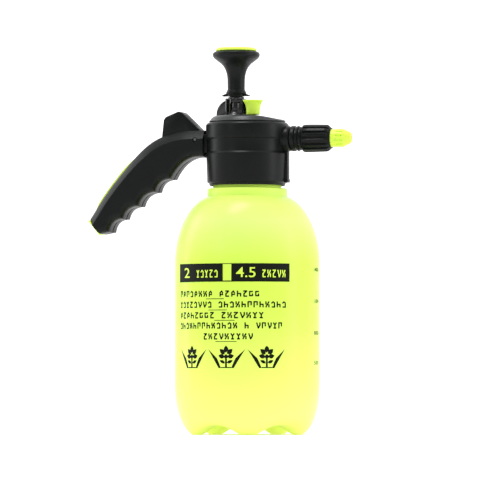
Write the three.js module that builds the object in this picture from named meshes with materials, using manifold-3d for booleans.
// Two-litre hand pressure sprayer: a blow-moulded bottle under a screwed head that holds the pump,
// the grip with its thumb trigger and valve, the relief valve and the adjustable nozzle.
// Millimetres, +Z up. The bottle's axis is the working axis; the nozzle points along +X.
import * as THREE from 'three';
import { mergeVertices } from 'three/addons/utils/BufferGeometryUtils.js';
import Module from 'manifold-3d';

const wasm = await Module();
wasm.setup();

// ---------- driving dimensions ----------
const GAP = 0.3; // between pieces that touch
const RUN = 0.3; // radial clearance where one piece moves in another

// bottle
const BOTTLE_RADIUS = 60;
const BOTTLE_WALL = 1.5;
const HEEL_HEIGHT = 43;
const FOOT_OUTER = 45;
const FOOT_INNER = 36;
const FOOT_COUNT = 5;
const FOOT_FLAT = 0.3; // share of the valley's wave that stays on the floor
const FOOT_LIFT = 10; // height of the valleys between the feet
const FOOT_TOP = 26; // the valleys fade out at this height
const FOOT_TURN = THREE.MathUtils.degToRad(17); // the first foot, turned from -Y towards +X
const BASE_RISE = 13;
const SHOULDER_Z = 140;
const SHOULDER_HEIGHT = 57;
const SHOULDER_REACH = BOTTLE_RADIUS - 25; // half width of the shoulder's ellipse
const NECK_RADIUS = 28;
const LEDGE_RADIUS = NECK_RADIUS + 5.1;
const LEDGE_HEIGHT = 6.6;
const NECK_WALL = 2;
const NECK_HEIGHT = 26;
const THREAD_RADIUS = 1.3;
const THREAD_PITCH = 7;
const THREAD_TURNS = 1.5;

// head
const COLLAR_LIFT = 5; // from the bottle's ledge to the collar's lower edge
const COLLAR_LIP = 2.8; // the inner lip below the collar's edge
const COLLAR_BORE = NECK_RADIUS + 2.2;
const COLLAR_RADIUS = COLLAR_BORE + 2.8;
const HEAD_RADIUS = COLLAR_RADIUS + 1.1;
const HEAD_BORE = HEAD_RADIUS - 4;
const DECK = 3;
const BELT_DEPTH = 0.9;
const BELT_HEIGHT = 12.5;
const HEAD_TOP = 26.5; // from the deck's underside to the housing's rim
const ROOF_HEIGHT = 5;
const ROOF_RADIUS = HEAD_RADIUS - 3.5;
const ROOF_WALL = 2.2;
const GASKET = 1.6;
const GASKET_BORE = NECK_RADIUS - 3.8;

// pump
const CYLINDER_RADIUS = 13.5;
const PUMP_X = CYLINDER_RADIUS + 1.2 - GASKET_BORE; // the barrel passes inside the gasket
const CYLINDER_WALL = 1.5;
const STROKE = 100;
const PISTON_LENGTH = 12;
const ROD_RADIUS = 5.4;
const GLAND_PLUG = 11.5; // length of the plug inside the cylinder
const GLAND_HEIGHT = 15.6;
const GLAND_WING = 16.6;
const WING_HEIGHT = 13;
const KNOB_RADIUS = 19.6;
const KNOB_HEIGHT = 37;
const KNOB_STEM = 7.3;
const KNOB_GAP = 0.6; // from the gland's top to the knob's ears
const KNOB_EAR = 11.5;
const CAP_RADIUS = 16.7;
const CAP_HEIGHT = 3;

// relief valve
const RELIEF_REACH = CYLINDER_RADIUS + 6.8; // from the pump's axis
const RELIEF_TURN = THREE.MathUtils.degToRad(-31);
const RELIEF_X = PUMP_X + RELIEF_REACH * Math.cos(RELIEF_TURN);
const RELIEF_Y = RELIEF_REACH * Math.sin(RELIEF_TURN);
const RELIEF_RADIUS = 8.5;
const RELIEF_STEM = 2.2;
const RELIEF_KNOB_HEIGHT = 12;

// nozzle
const NOZZLE_DROP = 14; // nozzle axis below the housing's rim
const NOZZLE_START = HEAD_RADIUS + 4.3;
const BARREL_TAIL = 24;
const RING_RADIUS = 10.5;
const SLEEVE_LENGTH = 20.7;
const SLEEVE_RADIUS = 10.8;
const SLEEVE_GROOVES = 14;
const TIP_RADIUS = 7.4;
const TIP_LENGTH = 16.4;
const TIP_FLUTES = 12;
const BOSS_RADIUS = 10.5;

// grip
const GRIP_HALF = 14;
const GRIP_BEVEL = 6;
const GRIP_WALL = 2.2;
const GRIP_FRONT = -HEAD_RADIUS - 2.7; // front end of the grip
const GRIP_TOE = [86.8, 91.2]; // lower corner of the cut end: behind the front end, below the rim
const GRIP_TAIL = [96.8, 79.2]; // upper corner of the cut end
const LINER_HALF = 1;
const TRIGGER_HALF = 8;
const TRIGGER_PIN_X = GRIP_FRONT - 4.3;
const PIN_RADIUS = 1.5;
const TRIGGER_BACK = TRIGGER_PIN_X - 30.5;
const VALVE_X = TRIGGER_PIN_X - 25.9;
const VALVE_RADIUS = 6;
const VALVE_HEIGHT = 14.5;
const PIPE_RADIUS = 2.6;
const PIPE_BORE = 1.6;
const DIP_X = 6;
const DIP_Y = 17.5;
const DIP_RADIUS = 4;
const DIP_BORE = 3;
const SCREW_HEAD = 2.8;
const SCREW_SHANK = 1.4;
const SCREW_PLACES = [[83.2, 76.7], [62.7, 55.2], [44.2, 38.7]]; // behind the front end, below the rim

// ---------- heights that follow ----------
const SHOULDER_TURN = Math.acos((LEDGE_RADIUS - (BOTTLE_RADIUS - SHOULDER_REACH)) / SHOULDER_REACH);
const LEDGE_Z = SHOULDER_Z + SHOULDER_HEIGHT * Math.sin(SHOULDER_TURN);
const NECK_Z = LEDGE_Z + LEDGE_HEIGHT;
const MOUTH_Z = NECK_Z + NECK_HEIGHT;
const COLLAR_Z = NECK_Z + COLLAR_LIFT;
const DECK_Z = MOUTH_Z + GASKET + 2 * GAP;
const DECK_TOP = DECK_Z + DECK;
const RIM_Z = DECK_Z + HEAD_TOP;
const ROOF_Z = RIM_Z + GAP + ROOF_HEIGHT;
const NOZZLE_Z = RIM_Z - NOZZLE_DROP;
const ROOF_UNDER = ROOF_Z - ROOF_WALL;
const CYLINDER_TOP = ROOF_UNDER - GAP;
const PLUG_Z = ROOF_Z - GLAND_PLUG;
const PISTON_TOP = PLUG_Z - STROKE - 1;
const PISTON_Z = PISTON_TOP - PISTON_LENGTH;
const CYLINDER_Z = PISTON_Z - 5;
const GLAND_TOP = ROOF_Z + GLAND_HEIGHT;
const KNOB_Z = GLAND_TOP + KNOB_GAP;
const KNOB_TOP = KNOB_Z + KNOB_HEIGHT;
const onGrip = ([back, drop]) => new THREE.Vector2(GRIP_FRONT - back, RIM_Z - drop);
const PIN_Z = RIM_Z - 14.3;
const PIPE_BELT = CYLINDER_RADIUS + 7;

// ---------- helpers ----------
const v2 = (x, y) => new THREE.Vector2(x, y);
const v3 = (x, y, z) => new THREE.Vector3(x, y, z);
const pairs = (list) => list.map(([x, y]) => v2(x, y));

function solid(geometry) {
  const plain = geometry.clone();
  plain.deleteAttribute('normal');
  plain.deleteAttribute('uv');
  const merged = mergeVertices(plain, 1e-4);
  const numbers = merged.attributes.position.array;
  const corners = merged.index.array;
  const kept = [];
  for (let i = 0; i < corners.length; i += 3) {
    const [a, b, c] = [corners[i], corners[i + 1], corners[i + 2]];
    if (a !== b && b !== c && c !== a) kept.push(a, b, c);
  }
  return new wasm.Manifold(new wasm.Mesh({
    numProp: 3, vertProperties: new Float32Array(numbers), triVerts: new Uint32Array(kept),
  }));
}

function geometryOf(shape) {
  const mesh = shape.getMesh();
  const geometry = new THREE.BufferGeometry();
  geometry.setAttribute('position', new THREE.BufferAttribute(new Float32Array(mesh.vertProperties), 3));
  geometry.setIndex(new THREE.BufferAttribute(new Uint32Array(mesh.triVerts), 1));
  return geometry;
}

const join = (first, ...more) => more.reduce((sum, next) => sum.add(next), first);
const cut = (first, ...tools) => tools.reduce((rest, tool) => rest.subtract(tool), first);

// A closed [radius, height] outline turned about +Z. It runs up its outer side.
function turned(outline, segments = 24, start = 0) {
  const points = pairs(outline);
  const closed = points[0].x === 0 && points.at(-1).x === 0;
  if (!closed) points.push(points[0].clone());
  const area = THREE.ShapeUtils.area(points);
  if (area < 0) points.reverse();
  const geometry = new THREE.LatheGeometry(points, segments, start);
  geometry.rotateX(Math.PI / 2);
  return geometry;
}

const turnedSolid = (outline, segments, start) => solid(turned(outline, segments, start));
const place = (geometry, x, y, z = 0) => geometry.translate(x, y, z);
// The same outline laid along +X at the nozzle's height.
const alongX = (outline, segments = 24) => place(turned(outline, segments).rotateY(Math.PI / 2), 0, 0, NOZZLE_Z);

function rod(radius, low, high, x = 0, y = 0, segments = 24) {
  const outline = [[0, low], [radius, low], [radius, high], [0, high]];
  return solid(place(turned(outline, segments), x, y));
}

function rodY(radius, low, high, x, z, segments = 20) {
  const outline = [[0, low], [radius, low], [radius, high], [0, high]];
  return solid(place(turned(outline, segments).rotateX(-Math.PI / 2), x, 0, z));
}

function rodX(radius, low, high, segments = 24) {
  return solid(alongX([[0, low], [radius, low], [radius, high], [0, high]], segments));
}

function block(x0, x1, y0, y1, z0, z1) {
  const geometry = new THREE.BoxGeometry(x1 - x0, y1 - y0, z1 - z0);
  return solid(place(geometry, (x0 + x1) / 2, (y0 + y1) / 2, (z0 + z1) / 2));
}

// An outline in X and Z, extruded across Y, with its edges rounded by bevel.
function slab(points, half, bevel = 0, steps = 2) {
  const shape = new THREE.Shape(points);
  const geometry = new THREE.ExtrudeGeometry(shape, {
    depth: 2 * (half - bevel), bevelEnabled: bevel > 0, bevelSize: bevel, bevelOffset: -bevel,
    bevelThickness: bevel, bevelSegments: steps, steps: 1,
  });
  geometry.rotateX(Math.PI / 2);
  return solid(place(geometry, 0, half - bevel));
}

// Each point moves inwards by the distance, square to the outline. The outline runs anticlockwise.
function inset(points, distance) {
  return points.map((point, i) => {
    const before = points.at(i - 1);
    const after = points[(i + 1) % points.length];
    const a = point.clone().sub(before).normalize();
    const b = after.clone().sub(point).normalize();
    const normal = v2(-(a.y + b.y), a.x + b.x).normalize();
    const stretch = 1 / Math.max(0.6, normal.dot(v2(-a.y, a.x)));
    return point.clone().addScaledVector(normal, distance * stretch);
  });
}

// A round tube along a smooth path, with open ends.
function tube(path, outer, inner, steps) {
  const shape = new THREE.Shape().absarc(0, 0, outer, 0, 2 * Math.PI, false);
  if (inner > 0) shape.holes.push(new THREE.Path().absarc(0, 0, inner, 0, 2 * Math.PI, true));
  const curve = path instanceof THREE.Curve ? path : new THREE.CatmullRomCurve3(path);
  return new THREE.ExtrudeGeometry(shape, { steps, bevelEnabled: false, extrudePath: curve, curveSegments: 2 });
}

class Helix extends THREE.Curve {
  constructor(radius, low, high, turns) {
    super();
    Object.assign(this, { radius, low, high, turns });
  }

  getPoint(t, target = v3(0, 0, 0)) {
    const angle = 2 * Math.PI * this.turns * t;
    const z = THREE.MathUtils.lerp(this.low, this.high, t);
    return target.set(this.radius * Math.cos(angle), this.radius * Math.sin(angle), z);
  }
}

function spring(radius, wire, low, high, turns) {
  return tube(new Helix(radius, low + wire, high - wire, turns), wire, 0, turns * 7);
}

// ---------- materials ----------
const plastic = (color, roughness) => new THREE.MeshStandardMaterial({ color, roughness, metalness: 0 });
const LIME_CLEAR = () => plastic(0xe6ff70, 0.35);
const LIME = () => plastic(0xe2fb5c, 0.45);
const BLACK = () => plastic(0x202322, 0.45);
const GREY = () => plastic(0x2e3131, 0.5);
const RUBBER = () => plastic(0x141414, 0.8);
const NATURAL = () => plastic(0xe4e6e0, 0.5);
const STEEL = () => new THREE.MeshStandardMaterial({ color: 0xb9bcc0, roughness: 0.3, metalness: 1 });

const sprayer = new THREE.Group();

function add(name, shape, material) {
  const geometry = shape instanceof THREE.BufferGeometry ? shape : geometryOf(shape);
  const mesh = new THREE.Mesh(geometry, material());
  mesh.name = name;
  sprayer.add(mesh);
}

// ---------- bottle ----------
// The valleys between the feet lift the base, most at the floor and half way between two feet.
function liftValleys(geometry, floor) {
  const position = geometry.attributes.position;
  for (let i = 0; i < position.count; i += 1) {
    const [x, y, z] = [position.getX(i), position.getY(i), position.getZ(i) - floor];
    const radius = Math.hypot(x, y);
    const turn = Math.atan2(x, -y) - FOOT_TURN;
    const between = (1 - Math.cos(FOOT_COUNT * turn)) / 2;
    const valley = Math.max(0, (between - FOOT_FLAT) / (1 - FOOT_FLAT));
    const fade = (1 - THREE.MathUtils.clamp(z / FOOT_TOP, 0, 1)) ** 2;
    const reach = Math.min(1, radius / FOOT_INNER);
    position.setZ(i, position.getZ(i) + FOOT_LIFT * valley * fade * reach);
  }
  return geometry;
}

function bottleOutline(wall) {
  const heel = new THREE.QuadraticBezierCurve(
    v2(FOOT_OUTER - wall, wall), v2(BOTTLE_RADIUS - wall, HEEL_HEIGHT / 2), v2(BOTTLE_RADIUS - wall, HEEL_HEIGHT));
  const shoulder = new THREE.EllipseCurve(
    BOTTLE_RADIUS - SHOULDER_REACH, SHOULDER_Z, SHOULDER_REACH - wall, SHOULDER_HEIGHT - wall, 0, SHOULDER_TURN);
  const points = [[0, BASE_RISE + wall], [FOOT_INNER / 2, BASE_RISE * 0.7 + wall], [FOOT_INNER, wall]];
  heel.getPoints(5).forEach((p) => points.push([p.x, p.y]));
  shoulder.getPoints(7).forEach((p) => points.push([p.x, p.y]));
  return points;
}

function makeBottle() {
  const segments = FOOT_COUNT * 6;
  const outer = bottleOutline(0);
  outer.push([LEDGE_RADIUS, NECK_Z - 0.8], [LEDGE_RADIUS - 0.8, NECK_Z], [NECK_RADIUS, NECK_Z]);
  outer.push([NECK_RADIUS, MOUTH_Z], [0, MOUTH_Z]);
  const inner = bottleOutline(BOTTLE_WALL);
  const neckBore = NECK_RADIUS - NECK_WALL;
  inner.push([neckBore, LEDGE_Z + 2], [neckBore, MOUTH_Z + 1], [0, MOUTH_Z + 1]);
  const skin = solid(liftValleys(turned(outer, segments, FOOT_TURN), 0));
  const hollow = solid(liftValleys(turned(inner, segments, FOOT_TURN), BOTTLE_WALL));
  const threadTop = MOUTH_Z - 5;
  const thread = new Helix(NECK_RADIUS, threadTop - THREAD_PITCH * THREAD_TURNS, threadTop, THREAD_TURNS);
  return join(cut(skin, hollow), solid(tube(thread, THREAD_RADIUS, 0, 24)));
}

add('bottle', makeBottle(), LIME_CLEAR);
add('neck_gasket', turned([
  [GASKET_BORE, MOUTH_Z + GAP], [COLLAR_BORE - 0.8, MOUTH_Z + GAP],
  [COLLAR_BORE - 0.8, MOUTH_Z + GAP + GASKET], [GASKET_BORE, MOUTH_Z + GAP + GASKET],
], 30), RUBBER);

// ---------- head housing ----------
const O_RING_POCKET = CYLINDER_RADIUS + 2;
const FLANGE_RADIUS = CYLINDER_RADIUS + 2.2;
// The grip's tongue, which the housing's shoulder takes.
const TONGUE = { half: 9, low: DECK_Z + 0.6, high: RIM_Z - 8.6, length: 3.6, bore: 7 };

function makeHousing() {
  const beltLow = DECK_Z + 1;
  const beltHigh = beltLow + BELT_HEIGHT;
  const belt = HEAD_RADIUS - BELT_DEPTH;
  const shell = turnedSolid([
    [0, COLLAR_Z - COLLAR_LIP], [COLLAR_BORE + 0.9, COLLAR_Z - COLLAR_LIP], [COLLAR_BORE + 1.1, COLLAR_Z - 0.6],
    [COLLAR_RADIUS - 0.6, COLLAR_Z - 0.6], [COLLAR_RADIUS, COLLAR_Z],
    [HEAD_RADIUS - 0.3, beltLow], [belt, beltLow + 2.4], [belt, beltHigh - 0.6], [HEAD_RADIUS, beltHigh],
    [HEAD_RADIUS, RIM_Z - 3.5], [HEAD_RADIUS - 0.8, RIM_Z - 1.6], [HEAD_RADIUS - 2.6, RIM_Z - 0.3],
    [ROOF_RADIUS - 0.6, RIM_Z], [0, RIM_Z],
  ], 32);
  const spout = solid(alongX([
    [0, BARREL_TAIL], [BOSS_RADIUS, BARREL_TAIL], [BOSS_RADIUS, NOZZLE_START - 2.4],
    [BOSS_RADIUS - 1.4, NOZZLE_START - 1],
    [0, NOZZLE_START - 1],
  ]));
  const rib = block(HEAD_BORE, COLLAR_RADIUS + 2.2, -3.6, 3.6, COLLAR_Z + 0.6, NOZZLE_Z);
  const { half, low, high, length, bore } = TONGUE;
  const shoulder = block(GRIP_FRONT + GAP, -HEAD_BORE, -GRIP_HALF + 2, GRIP_HALF - 2, low - 2.6, RIM_Z - 5);
  const seat = rod(4, DECK_Z, DECK_TOP + 1, RELIEF_X, RELIEF_Y);
  const whole = join(shell, spout, rib, shoulder);
  const hollow = cut(
    whole,
    rod(COLLAR_BORE, COLLAR_Z - COLLAR_LIP - 1, DECK_Z, 0, 0, 32),
    rod(HEAD_BORE, DECK_TOP, RIM_Z + 1, 0, 0, 32),
    block(GRIP_FRONT - 1, -HEAD_BORE + 4, -bore, bore, low + 1.6, high - 1.6),
    block(GRIP_FRONT - 1, GRIP_FRONT + length + GAP, -half - GAP, half + GAP, low - GAP, high + GAP),
    rodX(6 + GAP, 20, NOZZLE_START + 1),
    rod(CYLINDER_RADIUS + GAP, DECK_Z - 1, DECK_TOP + 1, PUMP_X, 0, 24),
    rod(O_RING_POCKET, DECK_TOP - 1.4, DECK_TOP + 1, PUMP_X, 0, 24),
    rod(PIPE_RADIUS + GAP, DECK_Z - 1, DECK_TOP + 1, DIP_X, DIP_Y),
  );
  return cut(join(hollow, seat), rod(2.4, DECK_Z - 1, DECK_TOP + 2, RELIEF_X, RELIEF_Y));
}

add('head_housing', makeHousing(), BLACK);

// The roof is level at the back and curves down to the rim at the front.
function roofLine(drop) {
  const level = ROOF_Z - drop;
  const points = [v2(-ROOF_RADIUS - 2, RIM_Z - 8), v2(ROOF_RADIUS + 2, RIM_Z - 8)];
  const fall = new THREE.QuadraticBezierCurve(
    v2(ROOF_RADIUS + 2, level - 5), v2(ROOF_RADIUS * 0.6, level), v2(0, level));
  return [...points, ...fall.getPoints(5), v2(-ROOF_RADIUS - 2, level)];
}

function dome(radius, top, drop) {
  const low = RIM_Z + GAP - (drop > 0 ? 8 : 0);
  const round = turnedSolid([
    [0, low], [radius, low], [radius, RIM_Z + GAP + 0.1], [radius - 0.7, RIM_Z + GAP + 1.2],
    [radius - 4.4, top - 0.4], [radius - 6.4, top], [0, top],
  ], 32);
  return round.intersect(slab(roofLine(drop), ROOF_RADIUS + 4));
}

function makeCover() {
  const outer = dome(ROOF_RADIUS, ROOF_Z, 0);
  const spigot = rod(HEAD_BORE - GAP, RIM_Z - 3, RIM_Z + GAP + 0.2, 0, 0, 32);
  const inner = dome(ROOF_RADIUS - ROOF_WALL - 0.4, ROOF_UNDER, ROOF_WALL);
  const boss = rod(6, ROOF_Z - 9.5, ROOF_UNDER + 0.5, RELIEF_X, RELIEF_Y);
  return cut(
    join(cut(join(outer, spigot), inner), boss),
    rod(CYLINDER_RADIUS - CYLINDER_WALL, RIM_Z - 9, ROOF_Z + 1, PUMP_X, 0, 24),
    rod(RELIEF_STEM + RUN, RIM_Z - 9, ROOF_Z + 1, RELIEF_X, RELIEF_Y),
    rodX(7, 0, ROOF_RADIUS + 2),
  );
}

add('top_cover', makeCover(), GREY);

// ---------- pump ----------
const BORE = CYLINDER_RADIUS - CYLINDER_WALL;
const atPump = (outline, segments = 20) => place(turned(outline, segments), PUMP_X, 0);

function makeCylinder() {
  const flange = DECK_TOP + 0.4;
  const barrel = solid(atPump([
    [2.3, CYLINDER_Z], [CYLINDER_RADIUS, CYLINDER_Z], [CYLINDER_RADIUS, flange], [FLANGE_RADIUS, flange],
    [FLANGE_RADIUS, flange + 2.2], [CYLINDER_RADIUS, flange + 2.2], [CYLINDER_RADIUS, CYLINDER_TOP],
    [BORE, CYLINDER_TOP], [BORE, CYLINDER_Z + 2], [2.3, CYLINDER_Z + 2],
  ], 24));
  const ports = [0, 1, 2, 3].map((i) => {
    const turn = (i * Math.PI) / 2;
    return rod(1.3, CYLINDER_Z - 1, CYLINDER_Z + 3, PUMP_X + 6 * Math.cos(turn), 6 * Math.sin(turn), 10);
  });
  return cut(barrel, ...ports);
}

function ring(middle, section, z, segments = 20) {
  return new THREE.TorusGeometry(middle, section, 5, segments).translate(0, 0, z);
}

add('pump_cylinder', makeCylinder(), NATURAL);
add('cylinder_o_ring', place(ring(CYLINDER_RADIUS + 1.1, 0.55, DECK_TOP - 0.4), PUMP_X, 0), RUBBER);
add('cylinder_check_valve', atPump([
  [0, CYLINDER_Z - 3], [3, CYLINDER_Z - 2.9], [8.5, CYLINDER_Z - 1.2], [8.5, CYLINDER_Z - GAP],
  [2, CYLINDER_Z - GAP], [2, CYLINDER_Z + 2.3], [2.9, CYLINDER_Z + 2.8], [1.8, CYLINDER_Z + 4], [0, CYLINDER_Z + 4.1],
], 20), RUBBER);

const ROD_BORE = ROD_RADIUS + RUN;
const GUIDE_OUTER = 8;
const GUIDE_TOP = PLUG_Z + 7;

function makeGland() {
  const bell = solid(atPump([
    [0, PLUG_Z], [BORE - GAP, PLUG_Z], [BORE - GAP, ROOF_Z + 0.4], [8.8, ROOF_Z + 0.6], [8.4, ROOF_Z + 2.2],
    [7.6, ROOF_Z + 5], [7, ROOF_Z + 8.5], [6.7, GLAND_TOP - 0.6], [6.4, GLAND_TOP], [0, GLAND_TOP],
  ]));
  const wing = [v2(0, ROOF_Z + 0.4), v2(GLAND_WING, ROOF_Z + 0.4)];
  const round = new THREE.EllipseCurve(4, ROOF_Z + 0.4, GLAND_WING - 4, WING_HEIGHT - 0.4, 0, Math.PI / 2);
  wing.push(...round.getPoints(5).slice(1), v2(0, ROOF_Z + WING_HEIGHT));
  const wings = [1, -1].map((side) => {
    const points = wing.map((p) => v2(PUMP_X + side * p.x, p.y));
    return slab(side > 0 ? points : points.reverse(), 1.1);
  });
  return cut(
    join(bell, ...wings),
    rod(ROD_BORE, PLUG_Z - 1, GLAND_TOP + 1, PUMP_X, 0),
    rod(GUIDE_OUTER + GAP, PLUG_Z - 1, GUIDE_TOP + GAP, PUMP_X, 0),
  );
}

add('pump_gland_cap', makeGland(), BLACK);
add('rod_guide', atPump([
  [ROD_RADIUS + 0.2, PLUG_Z + 0.6], [GUIDE_OUTER, PLUG_Z + 0.6], [GUIDE_OUTER, GUIDE_TOP],
  [ROD_RADIUS + 0.2, GUIDE_TOP],
]), NATURAL);

const SPIGOT = 4;
const ROD_TOP = KNOB_Z + 19;
add('pump_rod', atPump([
  [0, PISTON_Z + 1], [SPIGOT, PISTON_Z + 1], [SPIGOT, PISTON_TOP + GAP], [ROD_RADIUS, PISTON_TOP + GAP],
  [ROD_RADIUS, ROD_TOP], [0, ROD_TOP],
]), BLACK);
const GROOVE = [PISTON_Z + 4, PISTON_Z + 8];
add('pump_piston', atPump([
  [SPIGOT + GAP, PISTON_Z], [BORE - 0.5, PISTON_Z], [BORE - 0.5, GROOVE[0]], [BORE - 2, GROOVE[0]],
  [BORE - 2, GROOVE[1]], [BORE - 0.5, GROOVE[1]], [BORE - 0.5, PISTON_TOP], [SPIGOT + GAP, PISTON_TOP],
]), NATURAL);
add('piston_ring', atPump([
  [BORE - 1.7, GROOVE[0] + GAP], [BORE - 0.6, GROOVE[0] + GAP], [BORE - 0.15, PISTON_Z + 6],
  [BORE - 0.6, GROOVE[1] - GAP], [BORE - 1.7, GROOVE[1] - GAP],
]), RUBBER);

function makeKnob() {
  const flare = new THREE.CubicBezierCurve(
    v2(KNOB_STEM, KNOB_Z + 14), v2(KNOB_STEM + 0.6, KNOB_Z + 21),
    v2(KNOB_STEM + 4, KNOB_Z + 25), v2(KNOB_RADIUS - 2.4, KNOB_Z + 28.8));
  const outline = [[0, KNOB_Z + 1.4], [KNOB_STEM + 0.8, KNOB_Z + 1.4], [KNOB_STEM + 1.1, KNOB_Z + 2.8]];
  outline.push([KNOB_STEM + 0.7, KNOB_Z + 4.6], [KNOB_STEM, KNOB_Z + 5]);
  flare.getPoints(6).forEach((p) => outline.push([p.x, p.y]));
  outline.push([KNOB_RADIUS - 0.4, KNOB_Z + 31.6], [KNOB_RADIUS, KNOB_Z + 33.8]);
  outline.push([KNOB_RADIUS - 0.8, KNOB_Z + 35.6], [CAP_RADIUS, KNOB_TOP], [0, KNOB_TOP]);
  const ears = block(PUMP_X - KNOB_EAR, PUMP_X + KNOB_EAR, -3.5, 3.5, KNOB_Z, KNOB_Z + 1.5);
  const hub = rod(KNOB_STEM + 0.2, KNOB_Z, KNOB_Z + 1.6, PUMP_X, 0);
  return cut(
    join(solid(atPump(outline)), ears, hub),
    rod(ROD_BORE, KNOB_Z - 1, ROD_TOP + GAP, PUMP_X, 0),
    rod(CAP_RADIUS - 2.3, KNOB_TOP - 5.5, KNOB_TOP + 1, PUMP_X, 0),
  );
}

add('pump_knob', makeKnob(), BLACK);
const CAP_Z = KNOB_TOP + GAP;
add('knob_cap', atPump([
  [0, KNOB_TOP - 5], [CAP_RADIUS - 2.7, KNOB_TOP - 5], [CAP_RADIUS - 2.7, CAP_Z], [CAP_RADIUS, CAP_Z],
  [CAP_RADIUS - 0.1, CAP_Z + CAP_HEIGHT * 0.55], [CAP_RADIUS - 1.8, CAP_Z + CAP_HEIGHT * 0.85],
  [CAP_RADIUS - 6, CAP_Z + CAP_HEIGHT], [0, CAP_Z + CAP_HEIGHT],
]), LIME);

// ---------- relief valve ----------
const SEAL_Z = DECK_TOP + 1 + GAP;
const COLLAR_TOP = SEAL_Z + 5;
const SPRING_TOP = ROOF_Z - 9.5 - GAP;
const RELIEF_Z = ROOF_Z + 0.3;
const atRelief = (outline, segments = 20) => place(turned(outline, segments), RELIEF_X, RELIEF_Y);
const RELIEF_STEM_TOP = RELIEF_Z + 7.5;

add('relief_stem', atRelief([
  [0, SEAL_Z + 2], [4.2, SEAL_Z + 2], [4.2, COLLAR_TOP], [RELIEF_STEM, COLLAR_TOP],
  [RELIEF_STEM, RELIEF_STEM_TOP], [0, RELIEF_STEM_TOP],
]), BLACK);
add('relief_seal', atRelief([[0, SEAL_Z], [3.9, SEAL_Z], [3.9, SEAL_Z + 1.7], [0, SEAL_Z + 1.7]]), RUBBER);
add('relief_spring', place(spring(3.5, 0.45, COLLAR_TOP + GAP, SPRING_TOP, 5), RELIEF_X, RELIEF_Y), STEEL);
const bowl = new THREE.QuadraticBezierCurve(
  v2(4.9, RELIEF_Z), v2(6, RELIEF_Z + 7.5), v2(RELIEF_RADIUS, RELIEF_Z + RELIEF_KNOB_HEIGHT - 1));
add('relief_knob', atRelief([
  [RELIEF_STEM + GAP, RELIEF_Z], ...bowl.getPoints(5).map((p) => [p.x, p.y]),
  [RELIEF_RADIUS - 0.6, RELIEF_Z + RELIEF_KNOB_HEIGHT], [0, RELIEF_Z + RELIEF_KNOB_HEIGHT],
  [0, RELIEF_STEM_TOP + GAP], [RELIEF_STEM + GAP, RELIEF_STEM_TOP + GAP],
]), LIME);

// ---------- nozzle ----------
const SLEEVE_X = NOZZLE_START + 9.7;
const SLEEVE_END = SLEEVE_X + SLEEVE_LENGTH;
const CHAMFER_X = SLEEVE_END + 3.4;
const SPIGOT_X = SLEEVE_X + 13;
const TIP_X = SPIGOT_X + 0.6;
const TIP_END = CHAMFER_X + TIP_LENGTH;
const JET_X = CHAMFER_X + 0.3;
const TIP_BORE = 4.9;

function makeBarrel() {
  const outline = [
    [0, BARREL_TAIL], [6, BARREL_TAIL], [6, NOZZLE_START - 0.7], [RING_RADIUS, NOZZLE_START - 0.7],
    [RING_RADIUS, NOZZLE_START + 3.1], [RING_RADIUS - 1.8, NOZZLE_START + 3.3],
    [RING_RADIUS - 1.8, NOZZLE_START + 4.8], [RING_RADIUS, NOZZLE_START + 5], [RING_RADIUS, NOZZLE_START + 6.3],
    [RING_RADIUS - 1.6, NOZZLE_START + 6.5], [RING_RADIUS - 0.7, NOZZLE_START + 6.8],
    [RING_RADIUS - 1.2, NOZZLE_START + 9.3], [SPIGOT_RADIUS, NOZZLE_START + 9.4], [SPIGOT_RADIUS, SPIGOT_X],
    [TIP_BORE - RUN, SPIGOT_X], [TIP_BORE - RUN, RING_X - 1.1], [3.6, RING_X - 1.1], [3.6, RING_X + 1.1],
    [TIP_BORE - RUN, RING_X + 1.1], [TIP_BORE - RUN, JET_X], [0, JET_X],
  ];
  return cut(
    solid(alongX(outline, 20)), rodX(PIPE_RADIUS + GAP, BARREL_TAIL - 1, BARREL_TAIL + 4, 12),
    rodX(2, BARREL_TAIL - 1, JET_X + 1, 12),
  );
}

const SPIGOT_RADIUS = 7;
const RING_X = SPIGOT_X + 4;
add('nozzle_barrel', makeBarrel(), BLACK);
const turnX = (geometry) => place(geometry.rotateY(Math.PI / 2), 0, 0, NOZZLE_Z);
add('nozzle_o_ring', turnX(ring(4.2, 0.5, RING_X, 20)), RUBBER);
add('swirl_core', alongX([
  [0, JET_X - 4], [1.6, JET_X - 4], [1.6, JET_X + GAP], [3.4, JET_X + GAP], [3.2, JET_X + 3.4], [0, JET_X + 3.8],
], 16), NATURAL);

function makeSleeve() {
  const bore = SPIGOT_RADIUS + RUN;
  const pocket = TIP_RADIUS + RUN;
  const body = solid(alongX([
    [bore, SLEEVE_X], [SLEEVE_RADIUS - 0.4, SLEEVE_X], [SLEEVE_RADIUS, SLEEVE_X + 0.6],
    [SLEEVE_RADIUS - 0.6, SLEEVE_END], [pocket + 0.6, CHAMFER_X], [pocket, CHAMFER_X],
    [pocket, SPIGOT_X - 0.6], [bore, SPIGOT_X - 0.6],
  ], SLEEVE_GROOVES * 2));
  const grooves = [];
  for (let i = 0; i < SLEEVE_GROOVES; i += 1) {
    const bar = new THREE.BoxGeometry(SLEEVE_LENGTH - 1, 1.1, 2.4);
    bar.translate((SLEEVE_X + SLEEVE_END) / 2, 0, SLEEVE_RADIUS + 0.2);
    bar.rotateX((2 * Math.PI * i) / SLEEVE_GROOVES);
    grooves.push(solid(place(bar, 0, 0, NOZZLE_Z)));
  }
  return cut(body, ...grooves);
}

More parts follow.
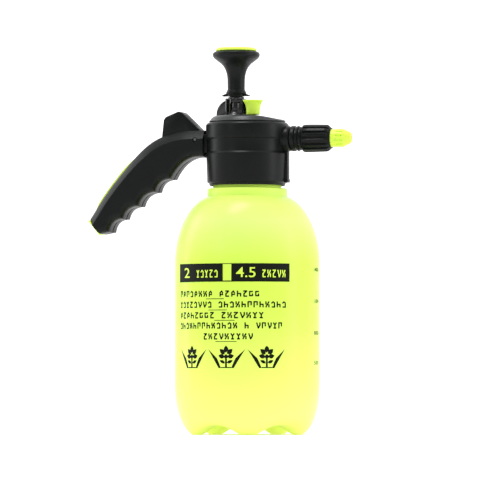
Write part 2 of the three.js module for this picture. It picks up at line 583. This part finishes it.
function makeTip() {
  const coneX = CHAMFER_X + TIP_LENGTH * 0.58;
  const body = solid(alongX([
    [0, TIP_X], [TIP_RADIUS, TIP_X], [TIP_RADIUS, coneX], [TIP_RADIUS - 0.5, coneX + 1.2],
    [4.2, TIP_END - 0.5], [3.6, TIP_END], [0, TIP_END],
  ], TIP_FLUTES * 2));
  const flutes = [];
  for (let i = 0; i < TIP_FLUTES; i += 1) {
    const bar = new THREE.BoxGeometry(6.5, 1, 1.6);
    bar.translate(coneX - 2.4, 0, TIP_RADIUS + 0.1);
    bar.rotateX((2 * Math.PI * i) / TIP_FLUTES);
    flutes.push(solid(place(bar, 0, 0, NOZZLE_Z)));
  }
  return cut(body, rodX(TIP_BORE, TIP_X - 1, coneX - 2, 20), rodX(0.8, TIP_X, TIP_END + 1, 10), ...flutes);
}

add('nozzle_sleeve', makeSleeve(), BLACK);
add('nozzle_tip', makeTip(), LIME);

// ---------- grip ----------
// The outline runs anticlockwise: along the underside to the end, then up the back to the front.
function gripOutline() {
  const top = RIM_Z - 6.6;
  const front = [v2(GRIP_FRONT, DECK_Z - 2.2), v2(GRIP_FRONT, top)];
  const back = new THREE.SplineCurve([
    front[1], ...[[17.2, 7.4], [30.2, 10.4], [44.7, 17.9], [62.4, 34.6], [80.8, 57], GRIP_TAIL].map(onGrip),
  ]);
  const end = onGrip(GRIP_TOE);
  const ridges = [[79.4, 90.2], [67.2, 79.4], [54, 69.1], [39.4, 57.4], [26.4, 46.9]].map(onGrip);
  const points = [...front, ...back.getPoints(11).slice(1), end];
  let from = end;
  ridges.forEach((to, i) => {
    if (i > 0) {
      const middle = from.clone().add(to).multiplyScalar(0.5).add(v2(-4.4, 5.2));
      points.push(...new THREE.QuadraticBezierCurve(from, middle, to).getPoints(4).slice(1));
    } else {
      points.push(to);
    }
    from = to;
  });
  const sweep = new THREE.CubicBezierCurve(
    from, from.clone().add(v2(3.5, 8)), v2(GRIP_FRONT - 14, DECK_Z - 0.8), v2(GRIP_FRONT, DECK_Z - 2.2));
  points.push(...sweep.getPoints(6).slice(1, -1));
  return points;
}

const OUTLINE = gripOutline();
const CAVITY = inset(OUTLINE, GRIP_WALL + GRIP_BEVEL * 0.3);
const SLOT = { back: TRIGGER_BACK - 2.2, front: TRIGGER_PIN_X + 2.6, half: TRIGGER_HALF + GAP };
const SCREWS = SCREW_PLACES.map(onGrip);
const FAR = 60;

function makeShell(side) {
  const [y0, y1] = side < 0 ? [-FAR, -LINER_HALF - GAP] : [LINER_HALF + GAP, FAR];
  const half = block(-200, 0, y0, y1, 0, 400);
  const skin = slab(OUTLINE, GRIP_HALF, GRIP_BEVEL).intersect(half);
  const cavity = slab(CAVITY, GRIP_HALF - GRIP_WALL);
  const posts = SCREWS.map(({ x, y }) => rodY(3.8, y0, y1, x, y, 16).intersect(slab(OUTLINE, GRIP_HALF - 1)));
  const { half: tongueHalf, low, high, length, bore } = TONGUE;
  const tongue = block(GRIP_FRONT - 2, GRIP_FRONT + length, -tongueHalf, tongueHalf, low, high).intersect(half);
  const tools = [
    block(GRIP_FRONT - 8, 0, -bore, bore, low + 1.6, high - 1.6),
    block(SLOT.back, SLOT.front, -SLOT.half, SLOT.half, PIN_Z - 5, 300),
    rodY(PIN_RADIUS + 0.35, -FAR, FAR, TRIGGER_PIN_X, PIN_Z),
  ];
  SCREWS.forEach(({ x, y }) => {
    tools.push(rodY(SCREW_SHANK + GAP, SCREW_START, FAR, x, y, 12));
    if (side > 0) tools.push(rodY(SCREW_HEAD + GAP, SCREW_HEAD_Y, FAR, x, y, 16));
  });
  return cut(join(cut(skin, cavity), tongue, ...posts), ...tools);
}

const SCREW_HEAD_Y = GRIP_HALF - 4.5;
const SCREW_START = -GRIP_HALF + 4;
add('handle_shell_near', makeShell(-1), BLACK);
add('handle_shell_far', makeShell(1), BLACK);

function makeLiner() {
  const sheet = slab(inset(OUTLINE, -0.4), LINER_HALF);
  const window = slab(inset(OUTLINE, 3.2), 5);
  return cut(
    sheet, window,
    block(SLOT.back - 0.5, 0, -5, 5, PIN_Z - 12, 300),
    block(GRIP_FRONT - 9, 0, -5, 5, 150, 300),
    slab(PLUG_POCKET, 5),
  );
}

// The end plug closes the cut end of the grip and stands out from it with two small feet.
const END = [onGrip(GRIP_TOE), onGrip(GRIP_TAIL)];

function endBand(t0, t1, inner, outer) {
  const along = END[1].clone().sub(END[0]);
  const out = v2(-along.y, along.x).normalize();
  const [a, b] = [t0, t1].map((t) => END[0].clone().addScaledVector(along, t));
  return [
    a.clone().addScaledVector(out, outer), a.clone().addScaledVector(out, inner),
    b.clone().addScaledVector(out, inner), b.clone().addScaledVector(out, outer),
  ];
}

const ccw = (points) => (THREE.ShapeUtils.area(points) < 0 ? points.slice().reverse() : points);
const PLUG_POCKET = ccw(endBand(-0.3, 1.3, 0, 4));

function makeEndPlug() {
  const plate = slab(ccw(endBand(0.03, 0.97, GAP, 1.5)), GRIP_HALF - 3.5);
  const feet = [[0.05, 0.35], [0.55, 0.85]].map(([a, b]) => slab(ccw(endBand(a, b, 1, 3)), 5));
  return join(plate, ...feet);
}

add('handle_end_plug', makeEndPlug(), LIME);
add('handle_liner', makeLiner(), LIME);

SCREWS.forEach(({ x, y: z }, i) => {
  const head = rodY(SCREW_HEAD, SCREW_HEAD_Y + GAP, SCREW_HEAD_Y + 2.4, x, z, 16);
  const shank = rodY(SCREW_SHANK, SCREW_START + 0.5, SCREW_HEAD_Y + 1, x, z, 12);
  const cross = [
    block(x - 1.7, x + 1.7, SCREW_HEAD_Y + 1.2, FAR, z - 0.35, z + 0.35),
    block(x - 0.35, x + 0.35, SCREW_HEAD_Y + 1.2, FAR, z - 1.7, z + 1.7),
  ];
  add(`handle_screw_${i + 1}`, cut(join(head, shank), ...cross), STEEL);
});

// ---------- trigger and valve ----------
function makeTrigger() {
  const z = (rise) => PIN_Z + rise;
  const lug = TRIGGER_PIN_X + 1.4;
  const outline = pairs([
    [TRIGGER_BACK, z(0.4)], [VALVE_X - 2.2, z(1.2)], [VALVE_X + 2.2, z(1.2)],
    [VALVE_X + 2.2, z(4.4)], [TRIGGER_PIN_X - 5.9, z(4.4)], [TRIGGER_PIN_X - 3.8, z(0)],
    [TRIGGER_PIN_X - 2.5, z(-2.2)], [TRIGGER_PIN_X, z(-3)],
    [lug, z(-2.2)], [lug, z(9)], [TRIGGER_PIN_X - 13.4, z(23.2)],
    [TRIGGER_PIN_X - 15.6, z(23.9)], [TRIGGER_BACK + 3.2, z(20)], [TRIGGER_BACK + 1.4, z(17.8)],
  ]);
  return cut(slab(outline, TRIGGER_HALF, 1, 1), rodY(PIN_RADIUS + 0.08, -FAR, FAR, TRIGGER_PIN_X, PIN_Z));
}

add('thumb_trigger', makeTrigger(), BLACK);
add('trigger_pin', rodY(PIN_RADIUS, -GRIP_HALF + 0.4, GRIP_HALF - 0.4, TRIGGER_PIN_X, PIN_Z), STEEL);

const VALVE_TOP = PIN_Z - 5.5;
const VALVE_Z = VALVE_TOP - VALVE_HEIGHT;
const VALVE_BORE = VALVE_RADIUS - 1.5;
const VALVE_FLOOR = VALVE_Z + 1.6;
const PIPE_Z = DECK_TOP + PIPE_RADIUS + 0.6;
const PIPE_SIDE = 3.6;
const PORT_Z = VALVE_TOP - 4.4;
const POPPET_Z = VALVE_FLOOR + 6.2;
const POPPET_RADIUS = VALVE_BORE - 0.5;
const atValve = (outline, segments = 20) => place(turned(outline, segments), VALVE_X, 0);

function makeValveBody() {
  const tower = rod(VALVE_RADIUS, VALVE_Z, VALVE_TOP, VALVE_X, 0);
  const socket = block(VALVE_X, VALVE_X + 10, -PIPE_SIDE - 3.6, PIPE_SIDE + 3.6, PORT_Z - 3.4, PORT_Z + 3.4);
  const sides = [-1, 1].map((side) => {
    const hole = new THREE.CylinderGeometry(PIPE_RADIUS + GAP, PIPE_RADIUS + GAP, 6, 16);
    return solid(place(hole.rotateZ(Math.PI / 2), SOCKET_X + 2.7, side * PIPE_SIDE, PORT_Z));
  });
  return cut(join(tower, socket), rod(VALVE_BORE, VALVE_FLOOR, VALVE_TOP + 1, VALVE_X, 0), ...sides);
}

const SOCKET_X = VALVE_X + 6.5;
const STEM_RADIUS = 1.6;
const STEM_TOP = PIN_Z + 0.9;
add('valve_body', makeValveBody(), NATURAL);
add('valve_spring', place(spring(3.2, 0.45, VALVE_FLOOR + GAP, POPPET_Z - GAP, 3), VALVE_X, 0), STEEL);
add('valve_stem', atValve([
  [0, POPPET_Z], [POPPET_RADIUS, POPPET_Z], [POPPET_RADIUS, POPPET_Z + 1.6], [STEM_RADIUS, POPPET_Z + 1.6],
  [STEM_RADIUS, STEM_TOP], [0, STEM_TOP],
]), BLACK);
add('valve_seal', atValve([
  [STEM_RADIUS + GAP, POPPET_Z + 1.9], [POPPET_RADIUS, POPPET_Z + 1.9], [POPPET_RADIUS, POPPET_Z + 2.7],
  [STEM_RADIUS + GAP, POPPET_Z + 2.7],
]), RUBBER);
add('valve_o_ring', place(ring(STEM_RADIUS + 1.1, 0.5, VALVE_TOP - 2.4, 20), VALVE_X, 0), RUBBER);
add('valve_cap', atValve([
  [STEM_RADIUS + RUN, VALVE_TOP - 1.6], [VALVE_BORE - GAP, VALVE_TOP - 1.6], [VALVE_BORE - GAP, VALVE_TOP + GAP],
  [VALVE_RADIUS - 0.5, VALVE_TOP + GAP], [VALVE_RADIUS - 0.5, VALVE_TOP + 1.5], [STEM_RADIUS + RUN, VALVE_TOP + 1.5],
]), BLACK);
const inGrip = (side) => [
  v3(SOCKET_X, side * PIPE_SIDE, PORT_Z), v3(SOCKET_X + 4, side * PIPE_SIDE, PORT_Z + 0.3),
  v3(GRIP_FRONT - 11, side * PIPE_SIDE, PIPE_Z - 1), v3(GRIP_FRONT, side * PIPE_SIDE, PIPE_Z),
];
add('feed_pipe', tube([
  v3(DIP_X, DIP_Y, DECK_Z - 16), v3(DIP_X, DIP_Y, DECK_Z - 6), v3(DIP_X, DIP_Y, DECK_TOP + 0.6),
  v3(DIP_X - 2, DIP_Y + 0.9, DECK_TOP + 4.8), v3(DIP_X - 8, PIPE_BELT - 0.5, DECK_TOP + 6),
  v3(PUMP_X - 2, PIPE_BELT, PIPE_Z + 1.4), v3(PUMP_X - 12, PIPE_BELT - 5.4, PIPE_Z + 0.2),
  v3(GRIP_FRONT + 8.5, 3.9, PIPE_Z), ...inGrip(1).reverse(),
], PIPE_RADIUS, PIPE_BORE, 24), NATURAL);
const PIPE_TOP = NOZZLE_Z + 2.6;
add('discharge_pipe', tube([
  ...inGrip(-1), v3(GRIP_FRONT + 6.5, -2.5, PIPE_Z + 2.4), v3(PUMP_X - 16.1, 7, NOZZLE_Z),
  v3(PUMP_X - 10, PIPE_BELT - 3.2, PIPE_TOP), v3(PUMP_X, PIPE_BELT, PIPE_TOP), v3(2, PIPE_BELT - 3, PIPE_TOP),
  v3(BARREL_TAIL - 12.5, 9, NOZZLE_Z + 2), v3(BARREL_TAIL - 7, 2.4, NOZZLE_Z + 0.3),
  v3(BARREL_TAIL - 2, 0, NOZZLE_Z), v3(BARREL_TAIL + 3.5, 0, NOZZLE_Z),
], PIPE_RADIUS, PIPE_BORE, 26), NATURAL);

const DIP_TOP = DECK_Z - 2.4;
const DIP_END = BASE_RISE + BOTTLE_WALL + 8;
const atDip = (outline, segments = 20) => place(turned(outline, segments), DIP_X, DIP_Y);
add('dip_tube', atDip([[DIP_BORE, DIP_END], [DIP_RADIUS, DIP_END], [DIP_RADIUS, DIP_TOP], [DIP_BORE, DIP_TOP]]),
  NATURAL);
add('dip_filter', atDip([
  [0, DIP_END - 6], [DIP_RADIUS + 1.6, DIP_END - 6], [DIP_RADIUS + 1.6, DIP_END + 8],
  [DIP_RADIUS + GAP, DIP_END + 8], [DIP_RADIUS + GAP, DIP_END - 4], [0, DIP_END - 4],
]), NATURAL);

// The frame's origin is the middle of the box round the sprayer, on the floor.
const box = new THREE.Box3().setFromObject(sprayer);
sprayer.position.set(-(box.min.x + box.max.x) / 2, 0, 0);
sprayer.updateMatrixWorld(true);

export default sprayer;
